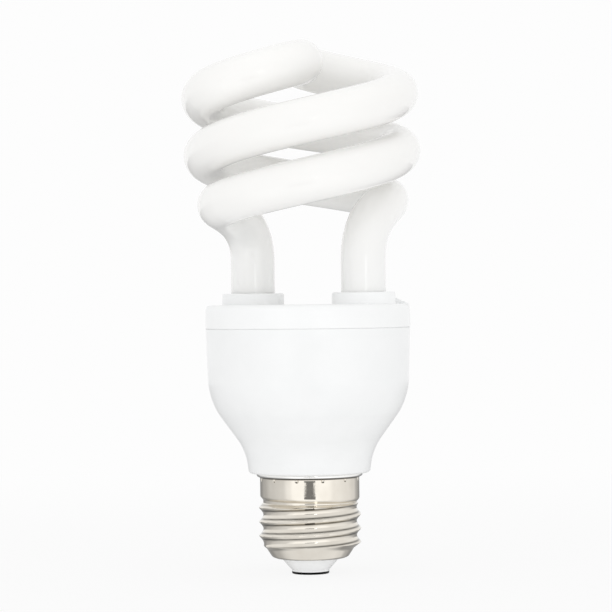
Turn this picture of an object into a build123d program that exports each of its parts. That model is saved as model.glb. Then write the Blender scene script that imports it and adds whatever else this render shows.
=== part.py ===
from build123d import *
from math import cos, radians, sin, tan
import os

# A compact fluorescent reptile lamp: a double-spiral ultraviolet tube cemented into a two-part ballast
# housing, which ends in an Edison screw cap. Millimetres, +Z up, cap down. The origin is the centre of the
# contact button's lower face, where the lamp meets the foot of its holder.

os.makedirs("parts", exist_ok=True)

# Fits and small clearances
moulded_gap = 0.15
mouth_gap = 0.1
stake_gap = 0.05
tube_gap = 0.3
part_gap = 1.1
lip_gap = 0.55
board_gap = 0.6

# Contact button, riveted through the insulator
contact_radius = 4.8
contact_thickness = 0.6
contact_edge = 0.25
shank_radius = 1.6
shank_bore = 0.7
clinch_radius = 2.5
clinch_thickness = 0.4

# Insulator cone, trapped by the foot of the shell
insulator_foot_radius = 4.8
insulator_rim_height = 0.35
insulator_waist_radius = 7.5
insulator_cone_height = 3.43
insulator_flange_radius = 8.9
insulator_flange_height = 1.9

# Screw shell, rolled from sheet to the medium (26 mm) Edison screw
shell_sheet = 0.35
shell_sole_width = 0.9
shell_sole_bend = 1.5
shell_heel_radius = 9.35
shell_heel_rise = 0.47
shell_heel_bend = 2.0
shell_cup_height = 3.72
shell_cup_bend = 2.0
thread_root_radius = 12.05
thread_crest_radius = 13.15
thread_pitch = 3.629
thread_turns = 4
thread_flank_angle = 45.0
thread_crest_round = 0.48
thread_crest_height = 11.6
thread_bottom = 6.1
thread_top = 20.2
thread_run_out = 2.0
groove_bottom = 6.9
groove_top = 19.6
band_radius = 12.8
band_bottom = 19.2
band_step = 0.9
band_bend = 0.6
rim_radius = 13.68
rim_flare = 0.45
rim_bend = 0.35
rim_lip = 0.7
rim_lip_bend = 0.45
rim_height = 25.95
stake_count = 12
stake_turn = 15.0
stake_radius = 0.9
stake_depth = 0.35
stake_drop = 0.3

# Lower housing, a moulded funnel with the neck that carries the shell
housing_wall = 1.7
neck_wall = 1.65
neck_foot_gap = 0.75
neck_ring_height = 0.35
rim_gap = 0.05
housing_height = 37.2
housing_foot_radius = 15.6
housing_foot_edge_share = 0.41
waist_spread = 0.83
waist_height = 5.9
waist_bend = 13.0
shoulder_inset = 0.62
shoulder_height = 18.8
shoulder_bend = 16.0
housing_rim_radius = 26.35
seam_chamfer = 0.2
board_rib_count = 4
board_rib_width = 2.0
board_rib_turn = 45.0
board_rib_overlap = 1.9
board_seat_depth = 11.6

# Tube cover, the moulded upper half, snapped into the lower half
cover_step = 0.05
cover_height = 6.1
cover_edge = 1.3
cover_wall = 1.7
cover_plate = 1.8
collar_radius = 8.1
collar_height = 3.0
collar_edge = 0.5
gusset_turn = 22.3
gusset_slope = 24.0
gusset_width = 1.6
lip_wall = 1.2
lip_depth = 6.6
lip_flange_height = 1.8
hook_count = 4
hook_width = 6.0
hook_height = 1.6
hook_land = 0.55
hook_reach = 0.65
hook_drop = 3.2
clamp_width = 3.0
clamp_overlap = 1.3
clamp_gap = 0.2

# Glass tube: two straight legs, one strand of helix on each, and a bridge that joins them at the crown
tube_diameter = 11.5
tube_end_radius = 2.5
leg_inset = 9.5
leg_angle = -32.28
leg_rise = 11.7
leg_sunk = 7.2
coil_radius = 24.75
coil_lead = 29.45
coil_turns = 0.948
coil_start_angle = 40.0
coil_start_rise = 25.15
coil_pivot_rise = 2.3
coil_lean_left = 1.6
coil_lean_front = 2.1
crown_rise = 6.95
crown_turn = 15.5
leg_handle = 14.9
coil_foot_handle = 12.2
coil_end_handle = 12.75
crown_handle = 17.0
cement_width = 2.6
cement_height = 3.6

# Ballast board and what stands on it
board_thickness = 1.6
post_radius = 0.5
post_height = 4.6
post_tail = 1.0
post_inset = 2.2
post_spread = 22.0
lead_radius = 0.3
lead_spread = 2.0
lead_drop = 2.2
lead_bend = 0.9
wrap_height = 2.0

# What hangs under the board
smoothing_radius = 6.25
smoothing_length = 21.5
smoothing_x = 3.2
smoothing_crimp = 0.4
smoothing_crimp_rise = 3.0
choke_length = 13.4
choke_width = 16.0
choke_depth = 4.8
choke_yoke = 2.2
choke_outer_leg = 2.4
choke_centre_leg = 4.0
bobbin_wall = 0.8
bobbin_flange = 1.0
bobbin_depth = 11.6
bobbin_flange_gap = 0.35
bobbin_rail = 2.2
choke_gap = 0.1
choke_air_gap = 0.3
winding_depth = 2.6
winding_corner = 1.6
toroid_radius = 4.0
toroid_bore = 2.2
toroid_height = 3.6
toroid_x = 5.6
toroid_band = 0.5
toroid_band_width = 2.2
toroid_band_count = 3
transistor_width = 8.0
transistor_thickness = 3.2
transistor_height = 9.4
transistor_circle = 15.4
transistor_angle = 34.0
transistor_hole = 1.6
transistor_hole_rise = 3.6
transistor_leg = 0.7
transistor_leg_pitch = 2.3
transistor_stand = 1.6
resonant_length = 13.0
resonant_thickness = 6.0
resonant_height = 9.4
resonant_x = 1.0
coupling_length = 6.6
coupling_thickness = 4.8
coupling_height = 7.2
coupling_x = -9.3
film_stand = 1.5
film_lead_radius = 0.35
film_edge = 1.2
film_corner = 1.8
diode_radius = 1.35
diode_length = 5.2
diode_spacing = 3.8
diode_x = -0.3
trigger_radius = 0.9
trigger_length = 3.6
trigger_x = 4.8
resistor_radius = 1.15
resistor_length = 6.2
resistor_x = -14.6
resistor_y = 9.6
stood_lead_radius = 0.3
stood_lead_stand = 1.5
stood_lead_bend = 0.6
stood_edge = 0.35
inductor_radius = 3.5
inductor_height = 9.0
inductor_flange = 1.2
inductor_core_radius = 1.9
inductor_x = 14.2
inductor_winding_inset = 0.3

# Supply leads, from the board down through the neck
supply_wire_radius = 0.35
supply_wire_bend = 2.0
fuse_radius = 1.7
fuse_length = 10.0
fuse_edge = 0.55
fuse_bottom = 12.0
line_pad_x = 3.9
line_pad_y = 8.0
line_turn_rise = 2.3
neutral_pad_x = -5.0
neutral_pad_y = -9.7
neutral_angle = 220.0
neutral_notch_width = 1.6
neutral_notch_height = 2.8
neutral_end_bend = 1.0

# Sizes and heights that follow from those above
neck_ring_radius = rim_radius - shell_sheet - moulded_gap
housing_foot_edge = housing_foot_edge_share * (housing_foot_radius - rim_radius)
waist_radius = housing_foot_radius + waist_spread
shoulder_radius = housing_rim_radius - shoulder_inset
cover_radius = housing_rim_radius + cover_step
lip_radius = housing_rim_radius - housing_wall - lip_gap
board_radius = lip_radius - lip_wall - board_gap
board_rib_reach = board_radius - board_rib_overlap
clamp_reach = board_radius - clamp_overlap
post_circle = board_radius - post_inset
leg_circle = housing_rim_radius - leg_inset
insulator_waist_z = contact_thickness + insulator_cone_height
shell_foot = insulator_waist_z
shell_mouth = insulator_waist_radius + mouth_gap
insulator_top = insulator_waist_z + shell_sheet + insulator_flange_height
neck_radius = thread_root_radius - shell_sheet - moulded_gap
neck_band_radius = band_radius - shell_sheet - moulded_gap
neck_bottom = shell_foot + shell_cup_height + neck_foot_gap
neck_bore = neck_radius - neck_wall
housing_foot = rim_height + rim_gap
rim_root = rim_height - rim_lip - rim_flare
housing_floor = housing_foot + housing_wall
seam = housing_foot + housing_height
board_bottom = seam - board_seat_depth
board_top = board_bottom + board_thickness
cover_top = seam + cover_height
cover_ceiling = cover_top - cover_plate
tube_radius = tube_diameter / 2
tube_foot = cover_top - leg_sunk
leg_top = cover_top + leg_rise
leg_places = [Vector(leg_circle, 0).rotate(Axis.Z, leg_angle + turn) for turn in (0, 180)]
wire_gap = supply_wire_radius + moulded_gap

housing_wall_line = [
    (housing_foot_radius, housing_foot),
    (waist_radius, housing_foot + waist_height),
    (shoulder_radius, housing_foot + shoulder_height),
    (housing_rim_radius, seam),
]
shell_line = [
    (shell_mouth, shell_foot),
    (shell_mouth + shell_sole_width, shell_foot),
    (shell_heel_radius, shell_foot + shell_heel_rise),
    (thread_root_radius, shell_foot + shell_cup_height),
    (thread_root_radius, band_bottom),
    (band_radius, band_bottom + band_step),
    (band_radius, rim_root),
    (rim_radius, rim_height - rim_lip),
    (rim_radius, rim_height),
]
shell_bends = [
    shell_sole_bend,
    shell_heel_bend,
    shell_cup_bend,
    band_bend,
    band_bend,
    rim_bend,
    rim_lip_bend,
]


def inset(line, bends, depth):
    """The open profile moved to its left by a wall's thickness, with the radii of its bends to match."""
    points = [Vector(*point) for point in line]
    runs = [(after - before).normalized() for before, after in zip(points, points[1:])]
    sides = [Vector(-run.Y, run.X) for run in runs]
    corners = [(one + two) * (depth / (1 + one.dot(two))) for one, two in zip(sides, sides[1:])]
    moves = [sides[0] * depth, *corners, sides[-1] * depth]
    turns = [one.cross(two).Z for one, two in zip(sides, sides[1:])]
    radii = [bend - depth if turn > 0 else bend + depth for bend, turn in zip(bends, turns)]
    return [point + move for point, move in zip(points, moves)], radii


def turned(line, bends):
    """The solid of revolution between an open profile, listed upwards, and the lamp's axis."""
    low, high = Vector(*line[0]), Vector(*line[-1])
    with BuildPart() as form:
        with BuildSketch(Plane.XZ):
            with BuildLine():
                FilletPolyline(*line, radius=bends)
                Polyline(high, (0, high.Y), (0, low.Y), low)
            make_face()
        revolve(axis=Axis.Z)
    return form.part


def thread_ridge(depth, bottom, top):
    """The thread's ridge, or the groove behind it one sheet's depth in. Its two ends run out in cones."""
    start = thread_crest_height - thread_pitch * thread_turns / 2
    slant = 1 / sin(radians(thread_flank_angle))
    sunk = thread_root_radius - depth - shell_sheet
    peak = thread_crest_radius + thread_crest_round * (slant - 1) - depth * slant
    foot = (peak - sunk) * tan(radians(thread_flank_angle))
    deep = sunk - 2 * shell_sheet
    inner = deep - shell_sheet
    outer = thread_crest_radius - depth + moulded_gap
    with BuildPart() as ridge:
        with BuildLine() as helix:
            Helix(thread_pitch, thread_pitch * thread_turns, thread_root_radius, center=(0, 0, start))
        with BuildSketch(Plane.XZ):
            with BuildLine():
                FilletPolyline(
                    (deep, start - foot),
                    (sunk, start - foot),
                    (peak, start),
                    (sunk, start + foot),
                    (deep, start + foot),
                    radius=[0, thread_crest_round - depth, 0],
                )
                Line((deep, start + foot), (deep, start - foot))
            make_face()
        sweep(path=helix.wire(), is_frenet=True)
        with BuildSketch(Plane.XZ):
            Polygon(
                (0, bottom),
                (inner, bottom),
                (outer, bottom + thread_run_out),
                (outer, top - thread_run_out),
                (inner, top),
                (0, top),
                align=None,
            )
        revolve(axis=Axis.Z, mode=Mode.INTERSECT)
    return ridge.part


def wire(route, bend, radius):
    """A round wire along straight runs with a bend at each corner."""
    with BuildPart() as run:
        with BuildLine() as line:
            FilletPolyline(*route, radius=bend)
        with BuildSketch(Plane(line.wire() @ 0, z_dir=line.wire() % 0)):
            Circle(radius)
        sweep(path=line.wire())
    return run.part


def stood_part(x, y, radius, length):
    """An axial part stood on end under the board: one lead straight up, the other bent back up beside it."""
    body_top = board_bottom - stood_lead_stand
    body_bottom = body_top - length
    loop_x = x - radius - moulded_gap - stood_lead_radius
    loop = [
        (x, y, body_bottom),
        (x, y, body_bottom - 2 * stood_lead_bend),
        (loop_x, y, body_bottom - 2 * stood_lead_bend),
        (loop_x, y, board_bottom),
    ]
    with BuildPart() as part:
        with BuildSketch(Plane((x, y, body_bottom))):
            Circle(radius)
        extrude(amount=length)
        fillet(part.edges(), stood_edge)
        with BuildSketch(Plane((x, y, body_top))):
            Circle(stood_lead_radius)
        extrude(amount=stood_lead_stand)
    return [part.part, wire(loop, stood_lead_bend, stood_lead_radius)]


def film_capacitor(x, y, length, thickness, height):
    """A dipped film capacitor: a rounded block on two straight leads."""
    body_top = board_bottom - film_stand
    with BuildPart() as part:
        with BuildSketch(Plane((x, y, body_top))):
            RectangleRounded(length, thickness, film_corner)
        extrude(amount=-height)
        fillet(part.faces().filter_by(Axis.Z).edges(), film_edge)
        with BuildSketch(Plane((x, y, body_top))):
            with GridLocations(length / 2, 0, 2, 1):
                Circle(film_lead_radius)
        extrude(amount=film_stand)
    return part.part


# Centre contact: a pressed button with a hollow shank, clinched over the insulator
with BuildPart() as centre_contact:
    with BuildSketch(Plane.XY):
        Circle(contact_radius)
    extrude(amount=contact_thickness)
    fillet(centre_contact.edges().group_by(Axis.Z)[0], contact_edge)
    with BuildSketch(Plane.XY.offset(contact_thickness)):
        Circle(shank_radius)
    extrude(amount=insulator_top - contact_thickness + clinch_thickness)
    with BuildSketch(Plane.XY.offset(insulator_top)):
        Circle(clinch_radius)
    extrude(amount=clinch_thickness)
    with BuildSketch(Plane.XY.offset(contact_thickness)):
        Circle(shank_bore)
    extrude(amount=insulator_top, mode=Mode.SUBTRACT)
centre_contact.part.label = "centre_contact"
export_step(centre_contact.part, "parts/centre_contact.step")

# Base insulator: a glazed cone below the shell, with a flange that lies on the inside of the shell's foot
shell_inside, shell_inside_bends = inset(shell_line, shell_bends, shell_sheet)
flange_slope = (shell_inside[2].Y - shell_inside[1].Y) / (shell_inside[2].X - shell_inside[1].X)
flange_edge_z = shell_inside[1].Y + flange_slope * (insulator_flange_radius - shell_inside[1].X)
with BuildPart() as base_insulator:
    with BuildSketch(Plane.XZ):
        Polygon(
            (shank_radius, contact_thickness),
            (insulator_foot_radius, contact_thickness),
            (insulator_foot_radius, contact_thickness + insulator_rim_height),
            (insulator_waist_radius, insulator_waist_z),
            (insulator_waist_radius, shell_inside[0].Y),
            (shell_mouth, shell_inside[0].Y),
            (insulator_flange_radius, flange_edge_z + moulded_gap),
            (insulator_flange_radius, insulator_top),
            (shank_radius, insulator_top),
            align=None,
        )
    revolve(axis=Axis.Z)
base_insulator.part.label = "base_insulator"
export_step(base_insulator.part, "parts/base_insulator.step")

# Screw shell: one rolled sheet, ridge outside and groove behind it, staked into the neck below its rim
stake_height = rim_root - stake_drop
stake_circle = band_radius + stake_radius - stake_depth
with BuildPart() as shell_bore:
    add(turned(shell_inside, shell_inside_bends))
    add(thread_ridge(shell_sheet, groove_bottom, groove_top))
    with BuildSketch(Plane.XY.offset(shell_foot)):
        Circle(shell_mouth)
    extrude(amount=shell_cup_height)
    with PolarLocations(stake_circle, stake_count, start_angle=stake_turn):
        with Locations((0, 0, stake_height)):
            Sphere(stake_radius + shell_sheet, mode=Mode.SUBTRACT)
with BuildPart() as screw_shell:
    add(turned(shell_line, shell_bends))
    add(thread_ridge(0, thread_bottom, thread_top))
    with PolarLocations(stake_circle, stake_count, start_angle=stake_turn):
        with Locations((0, 0, stake_height)):
            Sphere(stake_radius, mode=Mode.SUBTRACT)
    add(shell_bore.part, mode=Mode.SUBTRACT)
screw_shell.part.label = "screw_shell"
export_step(screw_shell.part, "parts/screw_shell.step")

# Lower housing: neck, funnel and board ribs in one moulding, with pockets for the cover's hooks
neck_line = [
    (neck_radius, neck_bottom),
    (neck_radius, band_bottom),
    (neck_band_radius, band_bottom + band_step),
    (neck_band_radius, housing_foot - neck_ring_height),
    (neck_ring_radius, housing_foot - neck_ring_height),
    (neck_ring_radius, housing_foot),
]
housing_line = neck_line + housing_wall_line
housing_bends = [0] * 5 + [housing_foot_edge, waist_bend, shoulder_bend]
funnel_line = [(housing_foot_radius, housing_floor)] + housing_wall_line[1:]
funnel_inside, funnel_bends = inset(funnel_line, [waist_bend, shoulder_bend], housing_wall)
cavity_line = [(neck_bore, neck_bottom), (neck_bore, housing_floor), (funnel_inside[0].X, housing_floor)]
hook_top = seam - hook_drop
with BuildPart() as housing_cavity:
    add(turned(cavity_line + funnel_inside[1:], [0, 0] + funnel_bends))
    with PolarLocations(board_rib_reach, board_rib_count, start_angle=leg_angle + board_rib_turn):
        with Locations((0, 0, board_bottom)):
            Box(
                housing_rim_radius - board_rib_reach,
                board_rib_width,
                housing_height,
                align=(Align.MIN, Align.CENTER, Align.MAX),
                mode=Mode.SUBTRACT,
            )
with BuildPart() as lower_housing:
    add(turned(housing_line, housing_bends))
    chamfer(lower_housing.edges().group_by(Axis.Z)[-1], seam_chamfer)
    add(housing_cavity.part, mode=Mode.SUBTRACT)
    with PolarLocations(lip_radius, hook_count):
        with Locations((0, 0, hook_top + moulded_gap)):
            Box(
                2 * (hook_reach + moulded_gap),
                hook_width + 2 * moulded_gap,
                hook_height + 2 * moulded_gap,
                align=(Align.CENTER, Align.CENTER, Align.MAX),
                mode=Mode.SUBTRACT,
            )
    with PolarLocations(neck_bore, 1, start_angle=neutral_angle):
        with Locations((0, 0, neck_bottom)):
            Box(
                2 * (neck_wall + moulded_gap),
                neutral_notch_width,
                neutral_notch_height,
                align=(Align.CENTER, Align.CENTER, Align.MIN),
                mode=Mode.SUBTRACT,
            )
    with PolarLocations(stake_circle, stake_count, start_angle=stake_turn):
        with Locations((0, 0, stake_height)):
            Sphere(stake_radius + shell_sheet + stake_gap, mode=Mode.SUBTRACT)
lower_housing.part.label = "lower_housing"
export_step(lower_housing.part, "parts/lower_housing.step")

# Tube cover: a shallow cap with a collar for each leg, a gusset beside the first of them, a lip with snap
# hooks, and feet that clamp the board
gusset_start = leg_circle + cover_wall
gusset_end = cover_radius - moulded_gap
gusset_rise = collar_height - collar_edge
gusset_crest = gusset_end - gusset_rise / tan(radians(gusset_slope))
with BuildPart() as tube_cover:
    with BuildSketch(Plane.XY.offset(seam)):
        Circle(cover_radius)
    extrude(amount=cover_height)
    fillet(tube_cover.edges().group_by(Axis.Z)[-1], cover_edge)
    chamfer(tube_cover.edges().group_by(Axis.Z)[0], seam_chamfer)
    with BuildSketch(Plane.XY.offset(cover_top)):
        with Locations(*leg_places):
            Circle(collar_radius)
    extrude(amount=collar_height)
    fillet(tube_cover.edges().group_by(Axis.Z)[-1], collar_edge)
    with BuildSketch(Plane.XZ.rotated((0, 0, leg_angle + gusset_turn))):
        Polygon(
            (gusset_start, cover_top - cover_edge),
            (gusset_start, cover_top + gusset_rise),
            (gusset_crest, cover_top + gusset_rise),
            (gusset_end, cover_top),
            (gusset_end, cover_top - cover_edge),
            align=None,
        )
    extrude(amount=gusset_width / 2, both=True)
    with BuildSketch(Plane.XY.offset(seam)):
        Circle(cover_radius - cover_wall)
    extrude(amount=cover_height - cover_plate, mode=Mode.SUBTRACT)
    with BuildSketch(Plane.XY.offset(seam)):
        Circle(cover_radius - cover_wall)
        Circle(lip_radius - lip_wall, mode=Mode.SUBTRACT)
    extrude(amount=lip_flange_height)
    with BuildSketch(Plane.XY.offset(seam - lip_depth)):
        Circle(lip_radius)
        Circle(lip_radius - lip_wall, mode=Mode.SUBTRACT)
    extrude(amount=lip_depth)
    for angle in range(0, 360, 360 // hook_count):
        with BuildSketch(Plane.XZ.rotated((0, 0, angle))):
            Polygon(
                (lip_radius - lip_wall / 2, hook_top),
                (lip_radius + hook_reach, hook_top),
                (lip_radius + hook_reach, hook_top - hook_land),
                (lip_radius - lip_wall / 2, hook_top - hook_height),
                align=None,
            )
        extrude(amount=hook_width / 2, both=True)
    with PolarLocations(clamp_reach, board_rib_count, start_angle=leg_angle + board_rib_turn):
        with Locations((0, 0, board_top + clamp_gap)):
            Box(
                lip_radius - lip_wall / 2 - clamp_reach,
                clamp_width,
                seam + lip_flange_height - board_top - clamp_gap,
                align=(Align.MIN, Align.CENTER, Align.MIN),
            )
    with BuildSketch(Plane.XY.offset(cover_ceiling)):
        with Locations(*leg_places):
            Circle(tube_radius + tube_gap)
    extrude(amount=cover_plate + collar_height, mode=Mode.SUBTRACT)
tube_cover.part.label = "tube_cover"
export_step(tube_cover.part, "parts/tube_cover.step")

# Glass tube: the centre line runs up each leg, swings out into a helix and meets its twin at the crown
coil = Plane((0, 0, cover_top + coil_pivot_rise)).rotated((coil_lean_front, -coil_lean_left, 0))
coil_height = coil_lead * coil_turns
coil_start = coil.offset(coil_start_rise)
crown = coil.offset(coil_start_rise + coil_height + crown_rise)
with BuildLine() as tube_line:
    for turn, leg in zip((0, 180), leg_places):
        straight = Line(leg + Vector(0, 0, tube_foot), leg + Vector(0, 0, leg_top))
        strand = Helix(coil_lead, coil_height, coil_radius, mode=Mode.PRIVATE)
        strand = add(coil_start * Rot(0, 0, coil_start_angle + turn) * strand).edge()
        across = crown.location * Rot(0, 0, crown_turn + turn - 90) * Pos(-crown_handle, 0, 0)
        Bezier(
            straight @ 1,
            straight @ 1 + Vector(0, 0, leg_handle),
            strand @ 0 - (strand % 0) * coil_foot_handle,
            strand @ 0,
        )
        Bezier(strand @ 1, strand @ 1 + (strand % 1) * coil_end_handle, across.position, crown.origin)
with BuildPart() as glass_spiral_tube:
    with BuildSketch(Plane(tube_line.wire() @ 0, z_dir=tube_line.wire() % 0)):
        Circle(tube_radius)
    sweep(path=tube_line.wire())
    fillet(glass_spiral_tube.edges().group_by(Axis.Z)[0], tube_end_radius)
glass_spiral_tube.part.label = "glass_spiral_tube"
export_step(glass_spiral_tube.part, "parts/glass_spiral_tube.step")

# Tube cement: a coned ring round each leg, against the underside of the cover's plate
with BuildPart() as tube_cement:
    for leg in leg_places:
        with BuildSketch(Plane.XZ.offset(-leg.Y)):
            with Locations((leg.X, cover_ceiling)):
                Polygon(
                    (tube_radius, 0),
                    (tube_radius + cement_width, 0),
                    (tube_radius + cement_width / 2, -cement_height),
                    (tube_radius, -cement_height),
                    align=None,
                )
        revolve(axis=Axis((leg.X, leg.Y, 0), (0, 0, 1)))
    add(tube_cover.part, mode=Mode.SUBTRACT)
tube_cement.part.label = "tube_cement"
export_step(tube_cement.part, "parts/tube_cement.step")

# Wire posts: four pins in the board, two beside each leg
post_places = []
for turn in (0, 180):
    for side in (1, -1):
        post_places.append(Vector(post_circle, 0).rotate(Axis.Z, leg_angle + turn + side * post_spread))
with BuildPart() as wire_posts:
    with BuildSketch(Plane.XY.offset(board_bottom - post_tail)):
        with Locations(*post_places):
            Circle(post_radius)
    extrude(amount=post_tail + board_thickness + post_height)
wire_posts.part.label = "wire_posts"
export_step(wire_posts.part, "parts/wire_posts.step")

# Circuit board: a round board on the housing's ribs, drilled for the posts
with BuildPart() as circuit_board:
    with BuildSketch(Plane.XY.offset(board_bottom)):
        Circle(board_radius)
        with Locations(*post_places):
            Circle(post_radius, mode=Mode.SUBTRACT)
    extrude(amount=board_thickness)
circuit_board.part.label = "circuit_board"
export_step(circuit_board.part, "parts/circuit_board.step")

# Electrode leads: two from the foot of each leg, each wrapped on its own post
wrap_top = board_top + post_height - post_radius
with BuildPart() as electrode_leads:
    for index, post in enumerate(post_places):
        leg = leg_places[index // 2]
        side = Vector(-leg.Y, leg.X).normalized() * (lead_spread if index % 2 == 0 else -lead_spread)
        top = leg + side + Vector(0, 0, tube_foot)
        bend_point = top - Vector(0, 0, lead_drop)
        level = wrap_top - wrap_height / 2
        inward = (Vector(top.X, top.Y) - post).normalized() * (post_radius + lead_radius)
        add(wire([top, bend_point, post + inward + Vector(0, 0, level)], lead_bend, lead_radius))
        with BuildSketch(Plane((post.X, post.Y, wrap_top))):
            Circle(post_radius + 2 * lead_radius)
            Circle(post_radius, mode=Mode.SUBTRACT)
        extrude(amount=-wrap_height)
electrode_leads.part.label = "electrode_leads"
export_step(electrode_leads.part, "parts/electrode_leads.step")

# Smoothing capacitor: a sealed can that hangs from the board into the funnel, crimped near its seal
with BuildPart() as electrolytic_capacitor:
    with BuildSketch(Plane((smoothing_x, 0, board_bottom))):
        Circle(smoothing_radius)
    extrude(amount=-smoothing_length)
    fillet(electrolytic_capacitor.edges(), smoothing_crimp)
    with BuildSketch(Plane.XZ):
        with Locations((smoothing_x + smoothing_radius, board_bottom - smoothing_crimp_rise)):
            Circle(smoothing_crimp)
    revolve(axis=Axis((smoothing_x, 0, 0), (0, 0, 1)), mode=Mode.SUBTRACT)
electrolytic_capacitor.part.label = "electrolytic_capacitor"
export_step(electrolytic_capacitor.part, "parts/electrolytic_capacitor.step")

# Choke core: two ferrite E halves, with an air gap at mid height
choke_x = smoothing_x - smoothing_radius - part_gap - bobbin_depth / 2
choke_top = board_bottom - part_gap / 2
choke_middle = choke_top - choke_length / 2
half_length = (choke_length - choke_air_gap) / 2
window_height = choke_length / 2 - choke_yoke
window_width = (choke_width - 2 * choke_outer_leg - choke_centre_leg) / 2
window_y = (choke_centre_leg + window_width) / 2
with BuildPart() as choke_core:
    for half in (-1, 1):
        with BuildSketch(Plane((choke_x, 0, choke_middle), x_dir=(0, 1, 0), z_dir=(1, 0, 0))):
            with Locations((0, half * (choke_length - half_length) / 2)):
                Rectangle(choke_width, half_length)
            with Locations((-window_y, half * window_height / 2), (window_y, half * window_height / 2)):
                Rectangle(window_width, window_height, mode=Mode.SUBTRACT)
        extrude(amount=choke_depth / 2, both=True)
choke_core.part.label = "choke_core"
export_step(choke_core.part, "parts/choke_core.step")

# Choke bobbin: a former on the core's middle leg, with two pin rails that stand against the board
bobbin_height = 2 * (window_height - choke_gap)
bobbin_bottom = choke_middle - bobbin_height / 2
bore_depth = choke_depth + 2 * choke_gap
bore_width = choke_centre_leg + 2 * choke_gap
flange_width = choke_centre_leg + 2 * (window_width - bobbin_flange_gap)
tube_depth = bore_depth + 2 * bobbin_wall
tube_width = bore_width + 2 * bobbin_wall
bobbin_floor = Plane((choke_x, 0, bobbin_bottom))
with BuildPart() as choke_bobbin:
    with BuildSketch(bobbin_floor):
        Rectangle(tube_depth, tube_width)
    extrude(amount=bobbin_height)
    for level in (bobbin_floor, bobbin_floor.offset(bobbin_height - bobbin_flange)):
        with BuildSketch(level):
            RectangleRounded(bobbin_depth, flange_width, bobbin_wall)
        extrude(amount=bobbin_flange)
    with BuildSketch(bobbin_floor):
        Rectangle(bore_depth, bore_width)
    extrude(amount=bobbin_height, mode=Mode.SUBTRACT)
    with BuildSketch(bobbin_floor.offset(bobbin_height)):
        with GridLocations(bobbin_depth - bobbin_rail, 0, 2, 1):
            Rectangle(bobbin_rail, flange_width)
    extrude(amount=board_bottom - bobbin_bottom - bobbin_height)
choke_bobbin.part.label = "choke_bobbin"
export_step(choke_bobbin.part, "parts/choke_bobbin.step")

# Choke winding: enamelled copper, wound level between the bobbin's flanges
winding_width = min(tube_width + 2 * winding_depth, flange_width)
with BuildPart() as choke_winding:
    with BuildSketch(bobbin_floor.offset(bobbin_flange)):
        RectangleRounded(tube_depth + 2 * winding_depth, winding_width, winding_corner)
        Rectangle(tube_depth, tube_width, mode=Mode.SUBTRACT)
    extrude(amount=bobbin_height - 2 * bobbin_flange)
choke_winding.part.label = "choke_winding"
export_step(choke_winding.part, "parts/choke_winding.step")

# Drive toroid: a ferrite ring that lies against the board on its three windings
diode_y = smoothing_radius + part_gap + diode_radius
toroid_y = diode_y + diode_radius + part_gap / 2 + toroid_radius
toroid_top = board_bottom - toroid_band
with BuildPart() as drive_toroid:
    with BuildSketch(Plane((toroid_x, toroid_y, toroid_top))):
        Circle(toroid_radius)
        Circle(toroid_bore, mode=Mode.SUBTRACT)
    extrude(amount=-toroid_height)
drive_toroid.part.label = "drive_toroid"
export_step(drive_toroid.part, "parts/drive_toroid.step")

# Toroid windings: three flat bands of a few turns each round the ring
ring_middle = (toroid_x, toroid_y, toroid_top - toroid_height / 2)
ring_section = Plane(ring_middle, x_dir=(1, 0, 0), z_dir=(0, -1, 0))
with BuildPart() as toroid_windings:
    for angle in range(0, 360, 360 // toroid_band_count):
        with BuildSketch(ring_section.rotated((0, 0, angle))):
            with Locations(((toroid_radius + toroid_bore) / 2, 0)):
                Rectangle(toroid_radius - toroid_bore + 2 * toroid_band, toroid_height + 2 * toroid_band)
        extrude(amount=toroid_band_width / 2, both=True)
    add(drive_toroid.part, mode=Mode.SUBTRACT)
toroid_windings.part.label = "toroid_windings"
export_step(toroid_windings.part, "parts/toroid_windings.step")

# Power transistors: two flat packages on three legs each, set round the edge of the board
transistor_top = board_bottom - transistor_stand
with BuildPart() as power_transistors:
    for angle in (transistor_angle, -transistor_angle):
        foot = Vector(transistor_circle, 0).rotate(Axis.Z, angle)
        outward = Vector(1, 0).rotate(Axis.Z, angle)
        seat = Plane((foot.X, foot.Y, transistor_top), x_dir=outward, z_dir=(0, 0, 1))
        with BuildSketch(seat):
            Rectangle(transistor_thickness, transistor_width)
        extrude(amount=-transistor_height)
        with BuildSketch(seat):
            with GridLocations(0, transistor_leg_pitch, 1, 3):
                Rectangle(transistor_leg, transistor_leg)
        extrude(amount=transistor_stand)
        hole = seat.offset(transistor_hole_rise - transistor_height)
        with BuildSketch(Plane(hole.origin, x_dir=hole.y_dir, z_dir=outward)):
            Circle(transistor_hole)
        extrude(amount=transistor_thickness, both=True, mode=Mode.SUBTRACT)
power_transistors.part.label = "power_transistors"
export_step(power_transistors.part, "parts/power_transistors.step")

# Film capacitors: the large resonant one across the tube, and two smaller coupling ones
resonant_y = diode_y + diode_radius + part_gap + resonant_thickness / 2
coupling_y = choke_width / 2 + 2 * part_gap + coupling_thickness / 2
with BuildPart() as resonant_capacitor:
    add(film_capacitor(resonant_x, -resonant_y, resonant_length, resonant_thickness, resonant_height))
resonant_capacitor.part.label = "resonant_capacitor"
export_step(resonant_capacitor.part, "parts/resonant_capacitor.step")
with BuildPart() as coupling_capacitors:
    for y in (-coupling_y, coupling_y):
        add(film_capacitor(coupling_x, y, coupling_length, coupling_thickness, coupling_height))
coupling_capacitors.part.label = "coupling_capacitors"
export_step(coupling_capacitors.part, "parts/coupling_capacitors.step")

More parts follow.
